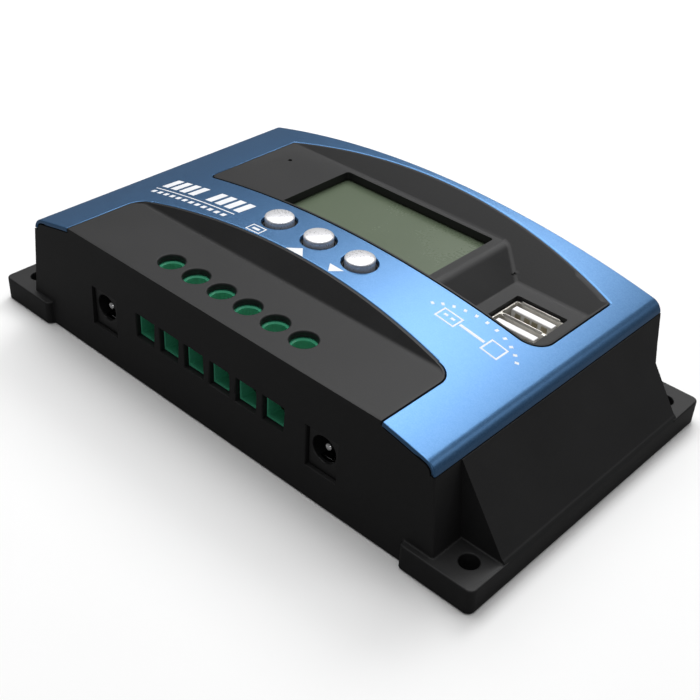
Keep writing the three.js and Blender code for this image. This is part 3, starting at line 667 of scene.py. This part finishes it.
def housing_rules():
    zd = DECK_Z

    def deck_front(m, e):
        return near(m.z, zd, 0.05) and m.y < -38.5 and abs(m.x) < 47.9 and abs(e.verts[0].co.z - e.verts[1].co.z) < 0.02 and abs(m.y) > 39

    def screw_rim(m, e):
        return near(m.z, zd, 0.05) and any(abs(math.hypot(m.x - pole(i), m.y - ROW_Y) - SCREW_HOLE_D / 2) < 0.06 for i in range(POLES))

    def inside(m, e):
        # nothing that no view reaches is rounded
        if m.z < 0.6 and abs(m.y) < 39 and abs(m.x) < 72:
            return False
        if abs(m.y) < 38.3 and m.z < 27 and abs(m.x) < 61 and not (REC_X0 < m.x < REC_X1 + 0.5 and m.y > 1.5 and m.z > 25):
            return True
        return False

    def wall_open(m, e):
        return m.y < -39.4 and m.z > 7 and m.z < 19 and (abs(m.x) < 41)

    def ear(m, e):
        return m.z < 8 and (abs(m.x) > 56.5) and m.z > 0.05

    def ear_hole(m, e):
        return m.z < 7 and any(abs(math.hypot(m.x - a * HOLE_X, m.y - b * HOLE_Y) - HOLE_D / 2) < 0.06 for a in (-1, 1) for b in (-1, 1))

    def crease(m, e):
        return 24 < m.x < 53.5 and m.y > 20 and POCKET_Z - 0.1 < m.z < REC_Z + 0.1 and abs(m.y - rec_face(m.z, 0)) < 0.05 and abs(e.verts[0].co.x - e.verts[1].co.x) > 0.01

    def vertical_corner(m, e):
        d = e.verts[1].co - e.verts[0].co
        return abs(d.z) > 3 and abs(m.y) > 38 and m.z > 6

    def flange(m, e):
        return abs(m.x) > 73.5 and abs(m.y) < EAR_Y + 0.1 and 5.2 < m.z < 7.2

    return [
        (lambda m, e: e.calc_length() < 0.02, 0, 1),
        (flange, 0, 1),
        (ear_hole, 0.28, 3),
        (screw_rim, 0.42, 4),
        (deck_front, 0.95, 5),
        (crease, 0.7, 4),
        (vertical_corner, 0.45, 4),
        (wall_open, 0.16, 2),
        (ear, 0.38, 3),
        (inside, 0, 1),
        (lambda m, e: m.z < 0.05, 0.2, 2),
    ]


T = {}
import time
_t0 = time.time()
housing = build_housing()
print("housing built", round(time.time() - _t0, 1), len(housing.data.polygons))
bevel(housing, housing_rules(), None, 3)
print("housing bevelled", round(time.time() - _t0, 1), len(housing.data.polygons))
finish(housing, "housing_shell", ["main_housing"], "root", BLACK)


# -------------------------------------------------------------------- the fascia
def build_fascia():
    f = meet(prism([(-BODY_X1, 20), (BODY_X1, 20)] + arch_line(0), "Y", -45, 45), prism(side_yz(0), "X", -80, 80))
    f = meet(f, box(-80, 80, -60, 60, EDGE_Z, 50))
    f = cut(f, prism([(-BODY_X1 + FASCIA_T, 0), (BODY_X1 - FASCIA_T, 0)] + arch_line(FASCIA_T), "Y", -70, 70))
    f = cut(f, deck_prism(LIP + GAP, 10, 45), recess_prism(LIP + GAP, 10, 45))
    for x in BTN_X:
        f = cut(f, cyl(x, BTN_Y, WELL_D, 20, 40, 72))
    return tidy(f, 0.05)


fascia = build_fascia()


def fascia_rules():
    def top_edge(m, e):
        return abs(m.z - arch_z(m.x)) < 0.06 or (abs(m.x) > BODY_X1 - 3.3 and abs(m.y) > 39)
    return [(lambda m, e: e.calc_length() < 0.02, 0, 1), (lambda m, e: top_edge(m, e) and abs(m.y) > 39, 0.34, 4), (top_edge, 0.2, 3)]


bevel(fascia, fascia_rules(), None, 3)
finish(fascia, "fascia_skin", ["top_fascia"], "root", BLUE, angle=42)
print("fascia", round(time.time() - _t0, 1))

# ------------------------------------- terminal screws and clamps; the block keeps its CAD shape
HEAD_Z = 23.2


def build_term_screw(i):
    x = pole(i)
    z = HEAD_Z + GAP
    t = lathe([(0, 19.5), (1.05, 19.5), (1.3, 19.65), (1.5, 20.0), (1.5, z), (2.05, z), (2.2, z + 0.15), (2.2, z + 1.5), (2.12, z + 1.72), (1.85, z + 1.9), (0, z + 1.9)], x, ROW_Y, 48)
    t = cut(t, box(x - 4, x + 4, ROW_Y - 0.4, ROW_Y + 0.4, z + 0.9, z + 4))
    return tidy(t)


def build_clamp(i):
    n = "terminal_clamp_%d" % (i + 1)
    a, b = lo(n), hi(n)
    x = pole(i)
    t = prism(rrect(a[0], b[0], a[2], b[2], 0.7, 6), "Y", a[1], b[1])
    t = cut(t, prism(rrect(x - 2.3, x + 2.3, 12.2, 19.3, 0.35, 4), "Y", -40, -20), cyl(x, ROW_Y, 3.7, 19, 23, 40))
    # ribs across the floor of the window grip the wire
    for k in range(5):
        yy = a[1] + 1.2 + 1.2 * k
        t = cut(t, prism([(yy, 12.25), (yy + 0.3, 11.95), (yy + 0.6, 12.25)], "X", x - 2.2, x + 2.2))
    tidy(t)
    return bevel(t, [(lambda m, e: e.calc_length() < 0.02, 0, 1), (lambda m, e: abs(m.y - a[1]) < 0.02 or abs(m.y - b[1]) < 0.02, 0.12, 2)], None)


for i in range(POLES):
    finish(build_term_screw(i), "clamp_screw_%d" % (i + 1), ["terminal_screw_%d" % (i + 1)], "screw_%d" % (i + 1), STEEL)
    finish(build_clamp(i), "rising_clamp_%d" % (i + 1), ["terminal_clamp_%d" % (i + 1)], "clamp_%d" % (i + 1), BRASS)


# ---------------------------------------------------------- the barrel sockets
def build_socket(x):
    y0 = JACK_FACE_Y
    t = prism(rrect(x - JACK_HALF, x + JACK_HALF, JACK_Z0, JACK_Z1, [0.15, 0.15, 0.9, 0.9], 8), "Y", y0, -25.4)
    t = cut(t, cyl_y(x, JACK_BORE_Z, 6.4, y0 - 1, -29.0, 72), box(x - 1.8, x + 1.8, y0 + 0.9, -29.6, 9.6, 12))
    tidy(t)
    return bevel(t, [(lambda m, e: e.calc_length() < 0.02, 0, 1), (lambda m, e: abs(m.y - y0) < 0.02 and math.hypot(m.x - x, m.z - JACK_BORE_Z) < 3.3, 0.32, 4),
                     (lambda m, e: abs(m.y - y0) < 0.02, 0.14, 2)], None)


for side, x in zip(("left", "right"), JACK_X):
    finish(build_socket(x), "barrel_socket_" + side, ["socket_" + side], "root", SOCKET)
    n = "socket_pin_" + side
    y0 = lo(n)[1]
    finish(lathe([(0, 0), (0.35, 0), (0.75, 0.13), (0.97, 0.45), (1.05, 1.0), (1.05, hi(n)[1] - y0), (0, hi(n)[1] - y0)], x, y0, 48, "Y", JACK_BORE_Z),
           "centre_pin_" + side, [n], "root", NICKEL)
    n = "socket_leaf_" + side
    a, b = lo(n), hi(n)
    leaf = prism([(a[1], 10.75), (a[1] + 0.25, 10.55), (-37.0, 10.42), (b[1], a[2]), (b[1], a[2] + 0.35), (-35.2, 11.0), (-37.3, 11.0), (-37.75, 11.1), (a[1] + 0.02, b[2])], "X", a[0], b[0])
    finish(bevel(leaf, [], 0.06, 2), "leaf_contact_" + side, [n], "root", NICKEL)

# ---------------------------------------------------------------- the USB pair
PORTS = (("back", 13.1, 19.0), ("front", 6.4, 12.3))


def build_usb():
    x0, x1, zt = USB["x0"], USB["x1"], USB["top"]
    t = prism(rrect(x0, x1, USB["y0"], USB["y1"], 0.5, 8), "Z", U0[2], zt - 0.35)
    for n, a, b in PORTS:
        t = cut(t, prism(rrect(x0 + 0.35, x1 - 0.35, a, b, 0.2, 4), "Z", 12.5, 40))
    t = add(t, box(x0 + 1.4, x1 - 1.4, 19.0, USB["y1"], zt - 1.2, zt), box(x0 + 1.4, x1 - 1.4, 12.3, 12.82, zt - 1.2, zt))
    # the mating lips are flared outwards, and a seam parts the two shells
    for a, w in ((19.0, 0.40), (12.3, 0.42)):
        t = cut(t, prism([(a - 0.3, zt - 0.5), (a, zt - 0.5), (a + w, zt + 0.01), (a - 0.3, zt + 0.01)], "X", x0 + 1.39, x1 - 1.39))
    t = cut(t, box(x0 + 0.5, x1 - 0.5, 12.84, 12.94, zt - 2.5, zt + 1))
    tidy(t)
    return bevel(t, [(lambda m, e: e.calc_length() < 0.02, 0, 1), (lambda m, e: m.z > zt - 0.8, 0.05, 2)], None)


finish(build_usb(), "usb_can", ["usb_shell"], "root", SHELL)
for n, a, b in PORTS:
    yc = b - 2.2
    x0, x1, zt = USB["x0"], USB["x1"], USB["top"] - 0.4
    t = add(box(x0 + 0.65, x1 - 0.65, a + GAP, b - GAP, 12.8, 15.5), box(x0 + 1.1, x1 - 1.1, yc - 0.95, yc + 0.95, 15, zt))
    tidy(t)
    bevel(t, [(lambda m, e: e.calc_length() < 0.02, 0, 1), (lambda m, e: abs(m.z - zt) < 0.02, 0.26, 4)], None)
    finish(t, "usb_core_" + n, ["usb_tongue_" + n], "root", WHITE)
    c = None
    for k in range(4):
        cx = (x0 + x1) / 2 + (-3.5, -1.0, 1.0, 3.5)[k]
        f = prism([(yc - 1.0, 16.1), (yc - 1.0, 22.6), (yc - 1.12, 23.2), (yc - 1.0, zt - 0.75), (yc - 0.94, zt - 0.6), (yc - 0.9, zt - 0.6), (yc - 0.9, 16.1)], "X", cx - 0.75, cx + 0.75)
        c = f if c is None else add(c, f)
    finish(c, "usb_contacts_" + n, [], "root", CONTACT)

# -------------------------------------------------------------------- buttons
for i, x in enumerate(BTN_X):
    n = "button_%d" % (i + 1)
    a, b = lo(n), hi(n)
    zt, r = b[2], BTN_D / 2
    dome = [(r * math.sin(t) ** 0.9, zt - 0.62 + 0.62 * math.cos(t)) for t in [math.radians(90 - 6 * k) for k in range(0, 15)]]
    prof = [(0, a[2]), (4.3, a[2]), (4.3, 29.9), (r, 29.9), (r, zt - 0.9)] + [(min(r, q), z) for q, z in dome] + [(0, zt)]
    finish(lathe(prof, x, BTN_Y, 96), "button_cap_%d" % (i + 1), [n], n, BUTTON)


# ------------------------------------------------- plain printed marks, no text
def on_arch(polys, name, z_of, lift=0.012, cells=0.5):
    """thin closed skins a few hundredths proud of the surface: each polygon's corners are lifted onto the curve; bar
    hands over long shapes already cut into narrow strips along X
    """
    out = bmesh.new()
    for pts in polys:
        n = len(pts)
        top = [out.verts.new((px, py, z_of(px, py) + lift)) for px, py in pts]
        bot = [out.verts.new((px, py, z_of(px, py) + 0.001)) for px, py in pts]
        out.faces.new(top)
        out.faces.new(bot[::-1])
        for i in range(n):
            j = (i + 1) % n
            out.faces.new((top[i], bot[i], bot[j], top[j]))
    bmesh.ops.recalc_face_normals(out, faces=out.faces)
    return obj_from_bm(out, name)


def bar(x0, x1, y0, y1, step=1.2, slant=0.0):
    k = max(1, int(abs(x1 - x0) / step))
    res = []
    for i in range(k):
        a, b = x0 + (x1 - x0) * i / k, x0 + (x1 - x0) * (i + 1) / k
        res.append([(a, y0), (b, y0), (b + slant, y1), (a + slant, y1)])
    return res


def frame_marks(x0, x1, y0, y1, w):
    return bar(x0, x1, y0, y0 + w) + bar(x0, x1, y1 - w, y1) + [[(x0, y0 + w), (x0 + w, y0 + w), (x0 + w, y1 - w), (x0, y1 - w)], [(x1 - w, y0 + w), (x1, y0 + w), (x1, y1 - w), (x1 - w, y1 - w)]]


def fz(x, y):
    return arch_z(x)


marks = []
# two rows of plain blocks and a rule to the left of the buttons
for k in range(9):
    x = -51.0 + 3.25 * k
    if k in (4,):
        continue
    marks += bar(x, x + 2.2, -9.6, -4.6, slant=0.55)
marks += bar(-51.5, -23.0, -11.1, -10.75)
for k in range(12):
    marks += bar(-50.8 + 2.3 * k, -49.5 + 2.3 * k, -13.3, -12.1, slant=0.15)
# page mark, up and down triangles
marks += frame_marks(-16.0, -11.6, -14.0, -11.2, 0.32) + bar(-14.9, -12.7, -13.0, -12.2)
marks += [[(-2.9, -14.0), (-0.1, -11.4), (2.4, -14.0)], [(8.2, -11.4), (10.1, -14.0), (12.3, -11.4)]]
# outlet mark with an arc of dashes
marks += frame_marks(34.4, 39.6, -7.6, -3.8, 0.42) + bar(35.6, 36.6, -5.9, -5.2) + bar(37.4, 38.4, -5.9, -5.2)
marks += bar(39.9, 46.4, -6.1, -5.3) + frame_marks(46.8, 51.2, -7.9, -3.5, 0.42)
for k in range(11):
    a = math.radians(150 - 12 * k)
    cx, cy = 43.0 + 12.5 * math.cos(a), -9.4 + 8.6 * math.sin(a)
    dx, dy = math.cos(a), math.sin(a)
    marks.append([(cx - 0.34 * dy, cy + 0.34 * dx), (cx + 0.34 * dy, cy - 0.34 * dx), (cx + 0.34 * dy + 0.9 * dx, cy - 0.34 * dx + 0.9 * dy), (cx - 0.34 * dy + 0.9 * dx, cy + 0.34 * dx + 0.9 * dy)])
finish(on_arch(marks, "printed_marks", fz), "printed_marks", [], "root", INK, weighted=False)

# ---------------------------------------------------- camera, light and floor
b0, b1 = CAD_BOX
ctr = Vector(((b0[0] + b1[0]) / 2, (b0[1] + b1[1]) / 2, b0[2]))


def add_camera():
    cam = bpy.data.cameras.new("camera")
    cam.lens = 58.485
    cam.sensor_width = 36
    cam.clip_start = 0.01
    cam.clip_end = 20
    o = bpy.data.objects.new("camera", cam)
    COL.objects.link(o)
    az, el, roll = (math.radians(a) for a in (41.196, 35.38, 3.208))
    back = Vector((math.sin(az) * math.cos(el), -math.cos(az) * math.cos(el), math.sin(el)))
    x = Vector((0, 0, 1)).cross(back).normalized()
    y = back.cross(x)
    x2 = math.cos(roll) * x + math.sin(roll) * y
    y2 = -math.sin(roll) * x + math.cos(roll) * y
    R = Matrix((x2, y2, back)).transposed().to_4x4()
    o.matrix_world = Matrix.Translation(ctr + Vector((20.078, -16.843, 20.0)) * MM + back * 0.244134) @ R
    bpy.context.scene.camera = o


add_camera()


def area(name, loc, target, size, power, color=(1, 1, 1), size_y=None):
    l = bpy.data.lights.new(name, "AREA")
    l.energy = power
    l.color = color
    l.shape = "RECTANGLE"
    l.size = size
    l.size_y = size_y or size
    o = bpy.data.objects.new(name, l)
    COL.objects.link(o)
    d = (Vector(target) - Vector(loc)).normalized()
    o.matrix_world = Matrix.Translation(loc) @ d.to_track_quat("-Z", "Y").to_matrix().to_4x4()
    return o


def set_floor():
    bm = bmesh.new()
    v = [bm.verts.new(p) for p in ((-3, -3, -0.0002), (3, -3, -0.0002), (3, 3, -0.0002), (-3, 3, -0.0002))]
    bm.faces.new(v)
    f = obj_from_bm(bm, "floor")
    m, nt, b = new_mat("floor_paper_dark_to_bounce_light")
    v = coords(nt)
    n = noise_tex(nt, v, 40, 4, 0.6)
    # painted shade: the floor is pale to camera rays but dark grey (0.20) to all other rays, so it throws little bounce
    # light and the housing walls stay shaded
    lp = nt.nodes.new("ShaderNodeLightPath")
    pale = mix_col(nt, n, (0.93, 0.93, 0.93), (0.95, 0.95, 0.95))
    nt.links.new(mix_col(nt, lp.outputs["Is Camera Ray"], (0.20, 0.20, 0.20), pale), b.inputs["Base Color"])
    b.inputs["Roughness"].default_value = 0.9
    b.inputs["Specular IOR Level"].default_value = 0.1
    f.data.materials.append(m)


set_floor()
w = bpy.data.worlds.new("studio")
bpy.context.scene.world = w
w.use_nodes = True
w.node_tree.nodes["Background"].inputs[0].default_value = (1, 1, 1, 1)
w.node_tree.nodes["Background"].inputs[1].default_value = 0.12
bpy.context.scene.view_settings.view_transform = "Standard"
area("key", (-0.30, 0.20, 1.00), (-0.08, 0.05, 0.0), 0.9, 12.5, size_y=1.3)
area("back", (-0.28, 0.82, 0.90), (0.0, 0.0, 0.02), 0.42, 3.5)
area("side", (0.62, 0.55, 0.62), (0.06, 0.0, 0.02), 0.30, 0.6)
area("front", (0.42, -0.62, 0.30), (0.0, -0.03, 0.015), 0.10, 0.30)

# --------------------------------------------- CAD nodes that keep their shape
CAD_MAT = {}
for n in NODES:
    if n.startswith(("base_screw", "board_screw", "display_screw", "terminal_screw")):
        CAD_MAT[n] = STEEL
    elif n.startswith(("terminal_clamp", "busbar")):
        CAD_MAT[n] = BRASS
    elif n.startswith(("socket_pin", "socket_leaf")):
        CAD_MAT[n] = NICKEL
    elif n.startswith("tact_switch") or n.startswith("mosfet") or n == "control_chip":
        CAD_MAT[n] = CHIP
    elif n.startswith("usb_tongue") or n == "lcd_backlight":
        CAD_MAT[n] = WHITE
    elif n.startswith("button"):
        CAD_MAT[n] = BUTTON
    elif n.startswith("capacitor"):
        CAD_MAT[n] = SLEEVE
CAD_MAT.update({"base_plate": PLATE, "heat_sink": PLATE, "main_board": BOARD, "display_board": BOARD, "terminal_block": GREEN,
                "socket_left": SOCKET, "socket_right": SOCKET, "usb_shell": SHELL, "lcd_panel": LCD, "power_inductor": FERRITE})
for n, m in CAD_MAT.items():
    o = NODES[n]
    if o.hide_render:
        continue
    if not o.material_slots:
        o.data.materials.append(m)
    for s in o.material_slots:
        s.link = "OBJECT"
        s.material = m
    mod = o.modifiers.new("edge", "BEVEL")
    mod.width = 0.00012
    mod.segments = 2
    mod.limit_method = "ANGLE"
    mod.angle_limit = math.radians(40)

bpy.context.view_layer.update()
print("script", round(time.time() - _t0, 1))
